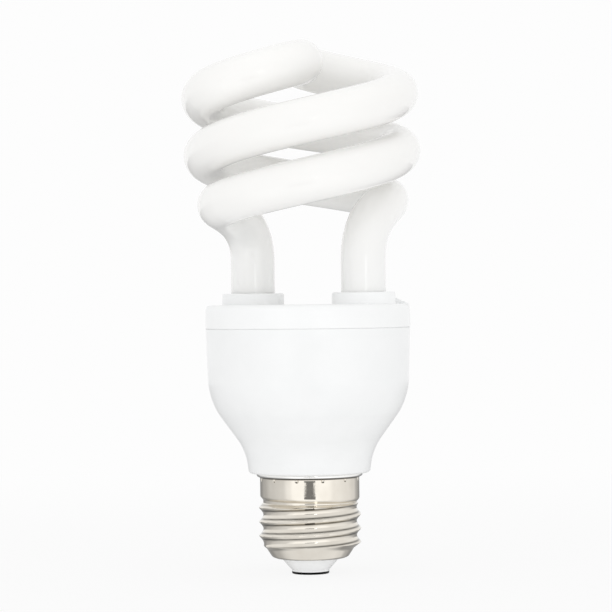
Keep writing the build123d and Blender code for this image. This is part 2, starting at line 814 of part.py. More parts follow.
# Small axial parts, all stood on end: the rectifier's diodes, the trigger diode and the resistors
with BuildPart() as rectifier_diodes:
    for x in (diode_x - diode_spacing / 2, diode_x + diode_spacing / 2):
        for y in (-diode_y, diode_y):
            add(stood_part(x, y, diode_radius, diode_length))
rectifier_diodes.part.label = "rectifier_diodes"
export_step(rectifier_diodes.part, "parts/rectifier_diodes.step")
with BuildPart() as trigger_diode:
    add(stood_part(trigger_x, -diode_y, trigger_radius, trigger_length))
trigger_diode.part.label = "trigger_diode"
export_step(trigger_diode.part, "parts/trigger_diode.step")
with BuildPart() as resistors:
    for y in (-resistor_y, resistor_y):
        add(stood_part(resistor_x, y, resistor_radius, resistor_length))
resistors.part.label = "resistors"
export_step(resistors.part, "parts/resistors.step")

# Filter inductor: a ferrite drum against the board, and its winding
with BuildPart() as inductor_core:
    with BuildSketch(Plane((inductor_x, 0, board_bottom))):
        Circle(inductor_core_radius)
    extrude(amount=-inductor_height)
    for level in (board_bottom, board_bottom - inductor_height + inductor_flange):
        with BuildSketch(Plane((inductor_x, 0, level))):
            Circle(inductor_radius)
        extrude(amount=-inductor_flange)
inductor_core.part.label = "inductor_core"
export_step(inductor_core.part, "parts/inductor_core.step")
with BuildPart() as inductor_winding:
    with BuildSketch(Plane((inductor_x, 0, board_bottom - inductor_flange))):
        Circle(inductor_radius - inductor_winding_inset)
        Circle(inductor_core_radius, mode=Mode.SUBTRACT)
    extrude(amount=2 * inductor_flange - inductor_height)
inductor_winding.part.label = "inductor_winding"
export_step(inductor_winding.part, "parts/inductor_winding.step")

# Fuse resistor: in the neck, in line with the lead to the centre contact
fuse_top = fuse_bottom + fuse_length
with BuildPart() as fuse_resistor:
    with BuildSketch(Plane.XY.offset(fuse_bottom)):
        Circle(fuse_radius)
    extrude(amount=fuse_length)
    fillet(fuse_resistor.edges(), fuse_edge)
fuse_resistor.part.label = "fuse_resistor"
export_step(fuse_resistor.part, "parts/fuse_resistor.step")

# Line lead: from the contact to the fuse, and from the fuse past the smoothing capacitor to the board
line_turn_z = fuse_top + line_turn_rise
with BuildPart() as line_lead:
    with BuildSketch(Plane.XY.offset(contact_thickness)):
        Circle(supply_wire_radius)
    extrude(amount=fuse_bottom - contact_thickness)
    upper_route = [
        (0, 0, fuse_top),
        (0, 0, line_turn_z),
        (line_pad_x, line_pad_y, line_turn_z),
        (line_pad_x, line_pad_y, board_bottom),
    ]
    add(wire(upper_route, supply_wire_bend, supply_wire_radius))
line_lead.part.label = "line_lead"
export_step(line_lead.part, "parts/line_lead.step")

# Neutral lead: down the neck and out through its notch, where the shell traps it
neutral_pad = Vector(neutral_pad_x, neutral_pad_y)
outward = Vector(cos(radians(neutral_angle)), sin(radians(neutral_angle)))
neutral_drop = outward * (neck_bore - 2 * wire_gap)
neutral_turn_z = neck_bottom + neutral_notch_height / 2
neutral_end = outward * (thread_root_radius - shell_sheet)
with BuildPart() as neutral_lead:
    route = [
        neutral_pad + Vector(0, 0, board_bottom),
        neutral_pad + Vector(0, 0, choke_top - choke_length - part_gap),
        neutral_drop + Vector(0, 0, housing_floor - part_gap),
        neutral_drop + Vector(0, 0, neutral_turn_z),
        neutral_end + Vector(0, 0, neutral_turn_z),
    ]
    add(wire(route, [supply_wire_bend, supply_wire_bend, neutral_end_bend], supply_wire_radius))
neutral_lead.part.label = "neutral_lead"
export_step(neutral_lead.part, "parts/neutral_lead.step")
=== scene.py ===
from math import atan2, cos, hypot, pi, radians, sin, sqrt, tan, tau

import bmesh
import bpy
from mathutils import Matrix, Vector


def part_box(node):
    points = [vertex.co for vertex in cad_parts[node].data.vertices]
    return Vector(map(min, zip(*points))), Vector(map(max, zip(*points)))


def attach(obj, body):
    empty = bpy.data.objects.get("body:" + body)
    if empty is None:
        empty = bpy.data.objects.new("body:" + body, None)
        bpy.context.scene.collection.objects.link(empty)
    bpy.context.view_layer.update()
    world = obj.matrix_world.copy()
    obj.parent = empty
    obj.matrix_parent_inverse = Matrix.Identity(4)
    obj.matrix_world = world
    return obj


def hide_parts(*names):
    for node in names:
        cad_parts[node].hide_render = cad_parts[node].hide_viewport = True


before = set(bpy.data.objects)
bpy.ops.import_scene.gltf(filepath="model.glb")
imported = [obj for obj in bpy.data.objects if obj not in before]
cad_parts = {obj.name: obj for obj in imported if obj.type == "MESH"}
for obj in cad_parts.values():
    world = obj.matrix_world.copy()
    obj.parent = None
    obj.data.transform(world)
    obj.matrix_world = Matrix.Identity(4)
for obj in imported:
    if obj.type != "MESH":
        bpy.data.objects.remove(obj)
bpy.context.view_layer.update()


# Contact button
# A pressed metal button, tinned, pushed up through the insulator and clinched over its flange.
# Its colour is painted shade, near black where the tin would show pale. Its face is dulled and
# scratched by the sprung contacts of lamp holders.
mm = 0.001
contact_radius = 4.8
contact_thickness = 0.6
contact_edge = 0.25
contact_sides = 96
shank_radius = 1.6
shank_bore = 0.7
shank_top = 6.28
clinch_radius = 2.5
clinch_top = 6.68
# Painted shade: the button's near-black tones stand in for shade over its tin.
contact_painted_shade = (0.005, 0.005, 0.005)
contact_shade_and_wear = (0.011, 0.011, 0.010)
sharp = 0
round_segments = 8
weld_distance = 0.0005
crease_angle = 35
patch_detail = 4
grain_detail = 2
dark_end = 0.32
light_start = 0.68
rough_end = 0.3
smooth_start = 0.7


def wire_outline(corners, closed):
    """A section drawn as a wire in the XZ plane. A corner is a radius, a height and a rounding."""
    section = bmesh.new()
    ends = [section.verts.new((radius * mm, 0, height * mm)) for radius, height, _ in corners]
    places = [end.co.copy() for end in ends]
    ring = ends + ends[:1] if closed else ends
    for one, two in zip(ring, ring[1:]):
        section.edges.new((one, two))
    for number, (_, _, rounding) in enumerate(corners):
        if rounding == sharp:
            continue
        before, here = places[number - 1], places[number]
        after = places[(number + 1) % len(places)]
        reach = rounding * mm * tan((here - before).angle(after - here) / 2)
        bmesh.ops.bevel(
            section,
            geom=[ends[number]],
            offset=reach,
            affect="VERTICES",
            segments=round_segments,
            profile=0.5,
            material=-1,
        )
    return section


def weld(form):
    """Welds the points of a form that meet, and turns its faces outwards."""
    bmesh.ops.remove_doubles(form, verts=form.verts[:], dist=weld_distance * mm)
    bmesh.ops.recalc_face_normals(form, faces=form.faces[:])


def spin_round(section, sides):
    """Turns a section a full circle about the lamp's axis."""
    bmesh.ops.spin(
        section,
        geom=section.verts[:] + section.edges[:],
        cent=(0, 0, 0),
        axis=(0, 0, 1),
        angle=tau,
        steps=sides,
        use_merge=True,
    )
    weld(section)


def speckle(tree, size, detail):
    """A value that wanders over the object in spots of a size in mm."""
    place = tree.nodes.new("ShaderNodeTexCoord")
    spots = tree.nodes.new("ShaderNodeTexNoise")
    spots.inputs["Scale"].default_value = 1 / (size * mm)
    spots.inputs["Detail"].default_value = detail
    tree.links.new(place.outputs["Object"], spots.inputs["Vector"])
    return spots.outputs["Fac"]


def two_tones(tree, share, first, second):
    """The colour at a share between two stops, each a place and a colour."""
    ramp = tree.nodes.new("ShaderNodeValToRGB")
    for stop, (place, colour) in zip(ramp.color_ramp.elements, (first, second)):
        stop.position = place
        stop.color = (*colour, 1)
    tree.links.new(share, ramp.inputs["Fac"])
    return ramp.outputs["Color"]


def scaled(tree, value, reach, result=(0, 1), eased=False):
    """A value scaled from its reach to the result, and held at their ends."""
    scale = tree.nodes.new("ShaderNodeMapRange")
    if eased:
        scale.interpolation_type = "SMOOTHSTEP"
    limit_names = ("From Min", "From Max", "To Min", "To Max")
    for limit_name, limit in zip(limit_names, (*reach, *result)):
        scale.inputs[limit_name].default_value = limit
    tree.links.new(value, scale.inputs["Value"])
    return scale.outputs["Result"]


def surface(name, dark, light, patch, rough, smooth, grain, grain_depth):
    """A material whose tone and gloss drift from patch to patch, over a grain. Sizes in mm."""
    material = bpy.data.materials.new(name)
    material.use_nodes = True
    tree = material.node_tree
    shader = tree.nodes["Principled BSDF"]
    drift = speckle(tree, patch, patch_detail)
    tone = two_tones(tree, drift, (dark_end, dark), (light_start, light))
    tone.node.name = "tone"
    gloss = scaled(tree, drift, (rough_end, smooth_start), (rough, smooth))
    relief = tree.nodes.new("ShaderNodeBump")
    relief.inputs["Strength"].default_value = 1
    relief.inputs["Distance"].default_value = grain_depth * mm
    tree.links.new(speckle(tree, grain, grain_detail), relief.inputs["Height"])
    tree.links.new(tone, shader.inputs["Base Color"])
    tree.links.new(gloss, shader.inputs["Roughness"])
    tree.links.new(relief.outputs["Normal"], shader.inputs["Normal"])
    return material


def metal(material):
    """Makes a finish metallic."""
    material.node_tree.nodes["Principled BSDF"].inputs["Metallic"].default_value = 1
    return material


def loose_object(name, form):
    """Makes a form an object of its own."""
    mesh = bpy.data.meshes.new(name)
    form.to_mesh(mesh)
    form.free()
    made = bpy.data.objects.new(name, mesh)
    bpy.context.scene.collection.objects.link(made)
    return made


def set_piece(name, form, material, node):
    """Makes a form the piece that stands for a solid, with even shading over its broad faces."""
    for face in form.faces:
        face.smooth = True
    piece = loose_object(name, form)
    piece.data.set_sharp_from_angle(angle=radians(crease_angle))
    piece.data.materials.append(material)
    shading = piece.modifiers.new("even_shading", "WEIGHTED_NORMAL")
    shading.keep_sharp = True
    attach(piece, "root")
    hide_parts(node)
    return piece


contact_form = wire_outline(
    [
        (0, 0, sharp),
        (contact_radius, 0, contact_edge),
        (contact_radius, contact_thickness, sharp),
        (shank_radius, contact_thickness, sharp),
        (shank_radius, shank_top, sharp),
        (clinch_radius, shank_top, sharp),
        (clinch_radius, clinch_top, sharp),
        (shank_bore, clinch_top, sharp),
        (shank_bore, contact_thickness, sharp),
        (0, contact_thickness, sharp),
    ],
    closed=False,
)
spin_round(contact_form, contact_sides)
# Painted shade: the tinned button is coloured near black.
tin_contact_painted_shade = surface(
    "tin_contact_painted_shade",
    dark=contact_painted_shade,
    light=contact_shade_and_wear,
    patch=0.9,
    rough=0.42,
    smooth=0.28,
    grain=0.12,
    grain_depth=0.006,
)
metal(tin_contact_painted_shade)
set_piece("contact_button", contact_form, tin_contact_painted_shade, "centre_contact")


# Insulator cone
# A white cone of glossy moulded resin. The contact's clinch and the foot of the shell trap its
# flange between them and hold it.
insulator_rim_top = 0.95
insulator_waist_radius = 7.5
insulator_waist = 4.03
insulator_ledge = 4.38
shell_mouth = 7.6
insulator_flange_radius = 8.9
insulator_flange_foot = 4.8
insulator_edge = 0.08
insulator_sides = 128
insulator_shade = (0.912, 0.919, 0.922)
insulator_white = (0.940, 0.946, 0.949)

insulator_form = wire_outline(
    [
        (shank_radius, contact_thickness, sharp),
        (contact_radius, contact_thickness, insulator_edge),
        (contact_radius, insulator_rim_top, sharp),
        (insulator_waist_radius, insulator_waist, sharp),
        (insulator_waist_radius, insulator_ledge, sharp),
        (shell_mouth, insulator_ledge, sharp),
        (insulator_flange_radius, insulator_flange_foot, sharp),
        (insulator_flange_radius, shank_top, sharp),
        (shank_radius, shank_top, sharp),
    ],
    closed=True,
)
spin_round(insulator_form, insulator_sides)
insulator_resin = surface(
    "insulator_resin",
    dark=insulator_shade,
    light=insulator_white,
    patch=3.0,
    rough=0.24,
    smooth=0.18,
    grain=0.25,
    grain_depth=0.002,
)
set_piece("insulator_cone", insulator_form, insulator_resin, "base_insulator")


# Screw shell
# Thin brass sheet rolled to the Edison thread and plated with bright nickel. Its colour carries a
# painted dark reflection in a line on each side of a crest, painted shade in the fold under the
# rim and a painted highlight on the rim's lip. Its foot holds the insulator, and a ring of punch
# marks stakes it to the plastic neck.
shell_foot = 4.03
foot_radius = 8.9
foot_round = 0.8
heel_radius = 9.85
heel_height = 4.4
heel_round = 1.0
wall_foot = 7.75
wall_top = 19.2
cup_round = 2.0
band_radius = 12.8
band_foot = 20.1
band_top = 24.8
step_round = 0.6
fold_round = 0.35
lip_radius = 13.68
lip_foot = 25.25
lip_round = 0.45
rim_radius = 13.64
rim_top = 25.95
sheet_thickness = 0.35
thread_row = 0.18
plain_row = 0.4
wall_slack = 0.001
shell_sides = 240
thread_pitch = 3.629
thread_crest = 11.6
thread_root_radius = 12.05
thread_rise = 1.1
thread_round = 0.2
thread_hollow = 1.8
thread_bottom = 6.1
thread_top = 19.4
run_out_radius = 10.65
run_out_slope = 1.325
stake_count = 12
stake_turn = 15.0
stake_height = 24.5
stake_circle = 12.98
stake_room = 0.9
stake_cuts = 3
punch_radius = 0.5
step_middle = 19.65
step_reach = 1.9
step_drop = 0.45
step_swing = 0.35
line_off = 0.75
line_half = 0.34
fold_bottom = 24.72
fold_top = 25.42
fold_start = 0.2
fold_end = 0.6
edge_start = 0.95
nickel_shade = (0.715, 0.672, 0.600)
nickel_bright = (0.795, 0.755, 0.683)
# Painted light: a dark tone for painted reflection on the flanks, a dark tone for painted shade in
# the fold and a near white for a painted highlight on the lip.
nickel_painted_reflection = (0.045, 0.040, 0.032)
nickel_painted_fold_shade = (0.05, 0.045, 0.04)
nickel_painted_rim_highlight = (0.93, 0.925, 0.91)


def off_crest(angle, height):
    """How far up or down the shell the nearest crest of the thread is."""
    turn = (height - thread_crest) / thread_pitch - angle / tau
    return abs(turn - round(turn)) * thread_pitch


def thread_room(height):
    """The radius that the thread may reach, which runs out on a cone at each end."""
    return run_out_radius + run_out_slope * min(height - thread_bottom, thread_top - height)


def thread_lift(angle, radius, height):
    """How far the thread stands out of the sheet, with narrow crests and hollows between them."""
    if not thread_bottom < height < thread_top:
        return 0
    reach = hypot(thread_pitch / 2, thread_round) - thread_round
    share = 1 - (hypot(off_crest(angle, height), thread_round) - thread_round) / reach
    return max(0, min(thread_rise * share**thread_hollow, thread_room(height) - radius))


def flank_reflection_share(angle, height):
    """How strongly the painted dark reflection beside a crest shows, from 0 to 1."""
    near = 1 - abs(off_crest(angle, height) - line_off) / line_half
    full = (thread_room(height) - thread_root_radius) / thread_rise
    return max(0, min(near, full, 1))


def from_stake(angle, radius, height):
    """How far along the sheet the nearest stake is, round the shell and up it."""
    step = tau / stake_count
    off = (angle - radians(stake_turn) + step / 2) % step - step / 2
    return off * radius, height - stake_height


def stake_dent(angle, radius, height):
    """How far the ball of the nearest punch presses the sheet in."""
    reach = punch_radius**2 - hypot(*from_stake(angle, radius, height)) ** 2
    if reach < 0:
        return 0
    return max(0, radius - stake_circle + sqrt(reach))


def on_shell(point):
    """A point of the shell as its angle, radius and height."""
    radius = hypot(point.co.x, point.co.y) / mm
    return atan2(point.co.y, point.co.x), radius, point.co.z / mm


shell_form = wire_outline(
    [
        (shell_mouth, shell_foot, sharp),
        (foot_radius, shell_foot, foot_round),
        (heel_radius, heel_height, heel_round),
        (thread_root_radius, wall_foot, cup_round),
        (thread_root_radius, wall_top, step_round),
        (band_radius, band_foot, step_round),
        (band_radius, band_top, fold_round),
        (lip_radius, lip_foot, lip_round),
        (rim_radius, rim_top, sharp),
    ],
    closed=False,
)
for run in shell_form.edges[:]:
    off_wall = max(abs(end.co.x / mm - thread_root_radius) for end in run.verts)
    row = thread_row if off_wall < wall_slack else plain_row
    cuts = int(run.calc_length() / mm / row)
    if cuts:
        bmesh.ops.subdivide_edges(shell_form, edges=[run], cuts=cuts)
spin_round(shell_form, shell_sides)
near_stakes = {
    point for point in shell_form.verts if hypot(*from_stake(*on_shell(point))) < stake_room
}
stake_edges = [edge for edge in shell_form.edges if near_stakes.issuperset(edge.verts)]
bmesh.ops.subdivide_edges(shell_form, edges=stake_edges, cuts=stake_cuts, use_grid_fill=True)
# Each point keeps how strongly the painted dark reflection beside a crest shows there.
flank_dark_reflection = shell_form.verts.layers.float.new("flank_dark_reflection")
for point in shell_form.verts:
    angle, radius, height = on_shell(point)
    if abs(height - step_middle) < step_reach:
        share = (1 + cos(pi * (height - step_middle) / step_reach)) / 2
        height -= share * (step_drop + step_swing * cos(angle))
        point.co.z = height * mm
    point[flank_dark_reflection] = flank_reflection_share(angle, height)
    lift = thread_lift(angle, radius, height) - stake_dent(angle, radius, height)
    point.co.x *= 1 + lift / radius
    point.co.y *= 1 + lift / radius


def feed(tree, socket, value):
    """Gives a socket a number or a colour of its own, or the output of another node."""
    if isinstance(value, bpy.types.NodeSocket):
        tree.links.new(value, socket)
    elif isinstance(value, tuple):
        socket.default_value = (*value, 1)
    else:
        socket.default_value = value


def object_axes(tree):
    """The place on the object, as one value for each axis."""
    place = tree.nodes.new("ShaderNodeTexCoord")
    axes = tree.nodes.new("ShaderNodeSeparateXYZ")
    tree.links.new(place.outputs["Object"], axes.inputs["Vector"])
    return axes.outputs


def mixed_colour(tree, share, first, second):
    """The colour at a share of the way from the first to the second."""
    mixing = tree.nodes.new("ShaderNodeMix")
    mixing.data_type = "RGBA"
    tree.links.new(share, mixing.inputs["Factor"])
    colour_inputs = [socket for socket in mixing.inputs if socket.type == "RGBA"]
    for socket, colour in zip(colour_inputs, (first, second)):
        feed(tree, socket, colour)
    return next(socket for socket in mixing.outputs if socket.type == "RGBA")


nickel = surface(
    "nickel",
    dark=nickel_shade,
    light=nickel_bright,
    patch=6.0,
    rough=0.08,
    smooth=0.05,
    grain=0.9,
    grain_depth=0.003,
)
metal(nickel)
nickel_tree = nickel.node_tree
nickel_tone = nickel_tree.nodes["tone"].outputs["Color"]
# Painted dark reflection beside each crest, then painted shade in the fold under the rim and a
# painted highlight on the rim's lip, over the nickel's own tone.
flank_reflection_node = nickel_tree.nodes.new("ShaderNodeAttribute")
flank_reflection_node.attribute_name = "flank_dark_reflection"
nickel_with_flank_reflection = mixed_colour(nickel_tree, flank_reflection_node.outputs["Fac"], nickel_tone, nickel_painted_reflection)
nickel_height = object_axes(nickel_tree)["Z"]
rim_height = scaled(nickel_tree, nickel_height, (fold_bottom * mm, fold_top * mm))
rim_share = scaled(nickel_tree, rim_height, (0, fold_start))
rim_shade_and_highlight = two_tones(nickel_tree, rim_height, (fold_end, nickel_painted_fold_shade), (edge_start, nickel_painted_rim_highlight))
nickel_colour = mixed_colour(nickel_tree, rim_share, nickel_with_flank_reflection, rim_shade_and_highlight)
nickel_shader = nickel_tree.nodes["Principled BSDF"]
nickel_tree.links.new(nickel_colour, nickel_shader.inputs["Base Color"])
rolled_shell = set_piece("rolled_shell", shell_form, nickel, "screw_shell")
sheet = rolled_shell.modifiers.new("sheet", "SOLIDIFY")
sheet.thickness = sheet_thickness * mm
sheet.offset = -1


# Lower housing
# The funnel of the ballast housing, moulded in white plastic with the neck that goes inside the
# shell. The shell's rim closes round a low ring under its foot.
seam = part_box("lower_housing")[1].z / mm
neck_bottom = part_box("lower_housing")[0].z / mm
neck_radius = 11.55
neck_band_radius = 12.3
neck_bore = 9.9
ring_foot = 25.65
ring_radius = 13.18
housing_foot = 26.0
housing_foot_radius = 15.6
housing_foot_edge = 0.79
waist_radius = 16.43
waist_height = 31.9
waist_bend = 13.0
shoulder_radius = 25.73
shoulder_height = 44.8
shoulder_bend = 16.0
housing_rim_radius = 26.35
seam_edge = 0.28
inner_rim_radius = 24.65
inner_shoulder_radius = 24.05
inner_shoulder_height = 45.3
inner_waist_radius = 14.85
inner_waist_height = 32.6
inner_bend = 14.0
inner_foot_radius = 14.2
inner_foot_height = 27.7
housing_sides = 192
plastic_shade = (0.912, 0.921, 0.922)
plastic_white = (0.934, 0.942, 0.943)

housing_form = wire_outline(
    [
        (neck_radius, neck_bottom, sharp),
        (neck_radius, wall_top, sharp),
        (neck_band_radius, band_foot, sharp),
        (neck_band_radius, ring_foot, sharp),
        (ring_radius, ring_foot, sharp),
        (ring_radius, housing_foot, sharp),
        (housing_foot_radius, housing_foot, housing_foot_edge),
        (waist_radius, waist_height, waist_bend),
        (shoulder_radius, shoulder_height, shoulder_bend),
        (housing_rim_radius, seam, seam_edge),
        (inner_rim_radius, seam, sharp),
        (inner_shoulder_radius, inner_shoulder_height, inner_bend),
        (inner_waist_radius, inner_waist_height, inner_bend),
        (inner_foot_radius, inner_foot_height, sharp),
        (neck_bore, inner_foot_height, sharp),
        (neck_bore, neck_bottom, sharp),
    ],
    closed=True,
)
spin_round(housing_form, housing_sides)
moulded_gloss = {"patch": 9.0, "rough": 0.34, "smooth": 0.28, "grain": 0.30, "grain_depth": 0.0025}
white_plastic = surface("white_plastic", dark=plastic_shade, light=plastic_white, **moulded_gloss)
set_piece("housing_funnel", housing_form, white_plastic, "lower_housing")


# Tube cover
# The upper half of the housing, a shallow moulded cap that snaps into the funnel, with a raised
# collar round each leg of the tube and a gusset beside the right one.
cover_radius = 26.4
cover_top = 69.3
cover_wall = 1.7
cover_plate = 1.8
cover_under = cover_top - cover_plate
cover_edge = 1.3
collar_radius = 8.1
collar_bore = 6.05
collar_foot = cover_top - cover_plate / 2
collar_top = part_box("tube_cover")[1].z / mm
collar_edge = 0.5
collar_sides = 128
bore_top = collar_top + cover_plate
leg_side = 14.246
leg_front = 9.0
leg_places = [Vector((leg_side, -leg_front, 0)), Vector((-leg_side, leg_front, 0))]
gusset_azimuth = -9.98
gusset_width = 1.6
gusset_start = 18.55
gusset_crest = 20.64
gusset_end = 26.25
gusset_foot = cover_top - cover_edge
gusset_top = 71.8
# Painted light: the cover's plastic is the funnel's white made a little lighter, where the cover
# is more brightly lit.
cover_shade = (0.932, 0.940, 0.941)
cover_white = (0.952, 0.959, 0.960)


def finished_mesh(made):
    """The mesh of an object as its modifiers or its curve leave it."""
    bpy.context.view_layer.update()
    scene_as_made = bpy.context.evaluated_depsgraph_get()
    return bpy.data.meshes.new_from_object(made.evaluated_get(scene_as_made))


def combine(base, tool, operation):
    """Joins the tool to the base or cuts it out, and takes the tool away."""
    change = base.modifiers.new(operation, "BOOLEAN")
    change.operation = operation
    change.object = tool
    change.solver = "EXACT"
    result = finished_mesh(base)
    base.modifiers.clear()
    base.data = result
    bpy.data.objects.remove(tool)


def round_leg(name, corners, leg):
    """A round form about the line of one leg."""
    form = wire_outline(corners, closed=False)
    spin_round(form, collar_sides)
    bmesh.ops.translate(form, vec=leg * mm, verts=form.verts[:])
    return loose_object(name, form)


cap_section = wire_outline(
    [
        (0, cover_under, sharp),
        (cover_radius - cover_wall, cover_under, sharp),
        (cover_radius - cover_wall, seam, sharp),
        (cover_radius, seam, seam_edge),
        (cover_radius, cover_top, cover_edge),
        (0, cover_top, sharp),
    ],
    closed=False,
)
spin_round(cap_section, housing_sides)
cap = loose_object("cap", cap_section)
collar_corners = [
    (0, collar_foot, sharp),
    (collar_radius, collar_foot, sharp),
    (collar_radius, collar_top, collar_edge),
    (0, collar_top, sharp),
]
for leg in leg_places:
    combine(cap, round_leg("collar", collar_corners, leg), "UNION")
gusset = bmesh.new()
gusset_corners = [
    (gusset_start, gusset_foot),
    (gusset_end, gusset_foot),
    (gusset_end, cover_top),
    (gusset_crest, gusset_top),
    (gusset_start, gusset_top),
]
near_side = gusset.faces.new(
    [
        gusset.verts.new((radius * mm, -gusset_width / 2 * mm, height * mm))
        for radius, height in gusset_corners
    ]
)
grown = bmesh.ops.extrude_face_region(gusset, geom=[near_side])["geom"]
far_corners = [part for part in grown if isinstance(part, bmesh.types.BMVert)]
bmesh.ops.translate(gusset, vec=(0, gusset_width * mm, 0), verts=far_corners)
bmesh.ops.recalc_face_normals(gusset, faces=gusset.faces[:])
gusset_turn = Matrix.Rotation(radians(gusset_azimuth), 3, "Z")
bmesh.ops.rotate(gusset, cent=(0, 0, 0), matrix=gusset_turn, verts=gusset.verts[:])
combine(cap, loose_object("gusset", gusset), "UNION")
bore_corners = [
    (0, seam, sharp),
    (collar_bore, seam, sharp),
    (collar_bore, bore_top, sharp),
    (0, bore_top, sharp),
]
for leg in leg_places:
    combine(cap, round_leg("bore", bore_corners, leg), "DIFFERENCE")
cap_form = bmesh.new()
cap_form.from_mesh(cap.data)
bpy.data.objects.remove(cap)
# Painted light: a lighter copy of the funnel's white plastic.
cover_plastic = surface("cover_plastic", dark=cover_shade, light=cover_white, **moulded_gloss)
set_piece("cover_cap", cap_form, cover_plastic, "tube_cover")


# Glass tube
# One length of glass tube, coated white inside, bent hot into two legs and a right-handed double
# spiral that meets itself at the crown. The coating's colour is greyer low in the legs and turns
# to the coil's white higher up.
tube_radius = 5.75
tube_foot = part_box("glass_spiral_tube")[0].z / mm
tube_steps = 16
tube_ring_steps = 14
leg_top = 81.0
leg_handle = 14.9
coil_pivot = 71.6
coil_lean_left = 1.6
coil_lean_front = 2.1
coil_radius = 24.75
coil_lead = 29.45
coil_turns = 0.948
coil_arcs = 12
coil_start_angle = 40.0
coil_start_rise = 25.15
coil_foot_handle = 12.2
coil_end_handle = 12.75
crown_rise = 6.95
crown_turn = 15.5
crown_handle = 17.0
quarter_turn = 90
half_turn = 180
# The coating is coloured grey below the first height and white above the second.
leg_grey_end = 73.6
coil_white_start = 103.6
coat_white = (0.953, 0.947, 0.930)
coat_shade = (0.940, 0.934, 0.916)
coat_leg = (0.915, 0.915, 0.905)
glass_index = 1.5
glass_rough = 0.03

lean = Matrix.Translation((0, 0, coil_pivot)) @ (
    Matrix.Rotation(radians(coil_lean_front), 4, "X")
    @ Matrix.Rotation(radians(-coil_lean_left), 4, "Y")
)
crown = lean @ Vector((0, 0, coil_start_rise + coil_lead * coil_turns + crown_rise))
arc = tau * coil_turns / coil_arcs
arc_handle = 4 / 3 * tan(arc / 4)  # the handle with which a curve follows an arc of a circle


def strand_points(leg, turn):
    """One strand's centre line from the foot of its leg to the coil's end, as handled points."""
    foot = leg + Vector((0, 0, tube_foot))
    top = leg + Vector((0, 0, leg_top))
    third = (top - foot) / 3
    bend = Vector((0, 0, leg_handle))
    points = [(foot - third, foot, foot + third), (top - third, top, top + bend)]
    for number in range(coil_arcs + 1):
        angle = radians(coil_start_angle + turn) + arc * number
        place = Vector((coil_radius * cos(angle), coil_radius * sin(angle), 0))
        place.z = coil_start_rise + coil_lead * arc * number / tau
        along = Vector((-coil_radius * sin(angle), coil_radius * cos(angle), coil_lead / tau))
        before = after = along * arc_handle
        if number == 0:
            before = along.normalized() * coil_foot_handle
        if number == coil_arcs:
            after = along.normalized() * coil_end_handle
        points.append((lean @ (place - before), lean @ place, lean @ (place + after)))
    return points


across = Vector((crown_handle, 0, 0))
across.rotate(Matrix.Rotation(radians(crown_turn + quarter_turn), 3, "Z"))
across.rotate(lean.to_3x3())
rising = strand_points(leg_places[0], 0)
other_strand = strand_points(leg_places[1], half_turn)
falling = [(after, place, before) for before, place, after in reversed(other_strand)]
route = rising + [(crown + across, crown, crown - across)] + falling

tube_curve = bpy.data.curves.new("tube_line", "CURVE")
tube_curve.dimensions = "3D"
tube_curve.resolution_u = tube_steps
tube_curve.bevel_depth = tube_radius * mm
tube_curve.bevel_resolution = tube_ring_steps
tube_curve.use_fill_caps = True
line = tube_curve.splines.new("BEZIER")
line.bezier_points.add(len(route) - 1)
for knot, (before, place, after) in zip(line.bezier_points, route):
    knot.handle_left_type = knot.handle_right_type = "FREE"
    knot.handle_left, knot.co, knot.handle_right = before * mm, place * mm, after * mm
tube_line = bpy.data.objects.new("tube_line", tube_curve)
bpy.context.scene.collection.objects.link(tube_line)
tube_form = bmesh.new()
tube_form.from_mesh(finished_mesh(tube_line))
bpy.data.objects.remove(tube_line)
weld(tube_form)

coated_glass = surface(
    "coated_glass",
    dark=coat_shade,
    light=coat_white,
    patch=14.0,
    rough=0.50,
    smooth=0.42,
    grain=0.6,
    grain_depth=0.0008,
)
glass_tree = coated_glass.node_tree
glass = glass_tree.nodes["Principled BSDF"]
glass.inputs["Coat Weight"].default_value = 1
glass.inputs["Coat Roughness"].default_value = glass_rough
glass.inputs["Coat IOR"].default_value = glass_index
glass_height = object_axes(glass_tree)["Z"]
coat_reach = (leg_grey_end * mm, coil_white_start * mm)
coat_share = scaled(glass_tree, glass_height, coat_reach, eased=True)
coat_tone = glass_tree.nodes["tone"].outputs["Color"]
coat_colour = mixed_colour(glass_tree, coat_share, coat_leg, coat_tone)
glass_tree.links.new(coat_colour, glass.inputs["Base Color"])
set_piece("spiral_tube", tube_form, coated_glass, "glass_spiral_tube")


# Ballast
# What the closed housing hides keeps its solid: the cement round the legs, the board with its
# posts and leads, and the parts under it. Each gets the finish that such a part has.
def dress(nodes, material):
    """Gives the solids that show as they are their finish."""
    for node in nodes:
        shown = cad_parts[node].data
        shown.materials.clear()
        shown.materials.append(material)


cement = surface(
    "cement",
    dark=(0.62, 0.60, 0.54),
    light=(0.74, 0.72, 0.66),
    patch=1.2,
    rough=0.95,
    smooth=0.85,
    grain=0.15,
    grain_depth=0.05,
)
dress(["tube_cement"], cement)

board_laminate = surface(
    "board_laminate",
    dark=(0.36, 0.24, 0.10),
    light=(0.44, 0.31, 0.14),
    patch=4.0,
    rough=0.6,
    smooth=0.5,
    grain=0.2,
    grain_depth=0.01,
)
dress(["circuit_board"], board_laminate)

tinned_wire = surface(
    "tinned_wire",
    dark=(0.60, 0.60, 0.59),
    light=(0.70, 0.70, 0.69),
    patch=0.8,
    rough=0.35,
    smooth=0.22,
    grain=0.1,
    grain_depth=0.004,
)
dress(["wire_posts", "electrode_leads", "line_lead", "neutral_lead"], metal(tinned_wire))

capacitor_sleeve = surface(
    "capacitor_sleeve",
    dark=(0.010, 0.011, 0.018),
    light=(0.018, 0.020, 0.030),
    patch=3.0,
    rough=0.34,
    smooth=0.24,
    grain=0.3,
    grain_depth=0.004,
)
dress(["electrolytic_capacitor"], capacitor_sleeve)

